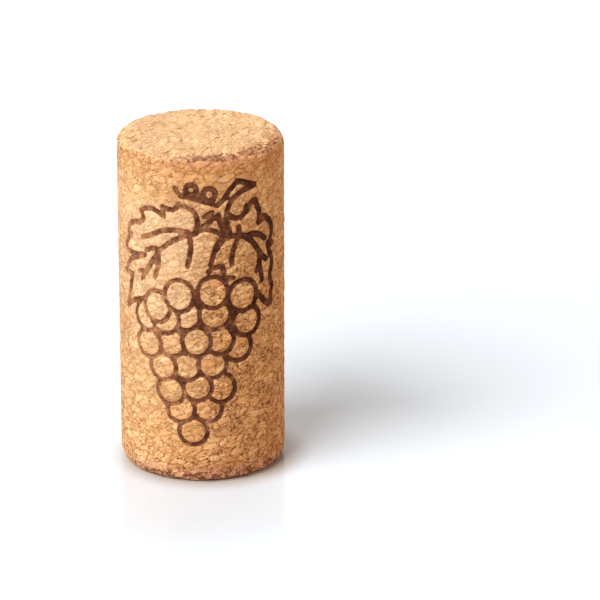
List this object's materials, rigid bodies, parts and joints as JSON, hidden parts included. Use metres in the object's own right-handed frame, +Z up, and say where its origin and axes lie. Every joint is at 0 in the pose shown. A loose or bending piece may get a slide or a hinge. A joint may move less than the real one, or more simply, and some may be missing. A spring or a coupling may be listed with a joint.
{
  "type": "cork stopper",
  "caption": "Straight cork stopper of pressed granules that plugs a bottle neck, with a bunch of grapes burnt twice into its side.",
  "frame": {"origin": "middle of the foot, on the surface that the cork stands on", "axes": "+Z up along the cork's axis, from its foot to its top; the upright one of its two burnt marks faces -Y"},
  "size_m": [0.024, 0.024, 0.0495],
  "materials": {
    "cork": "matte pressed cork granules, with burnt dark brown lines"
  },
  "bodies": {
    "root": {"stopper": "cork"}
  },
  "joints": []
}
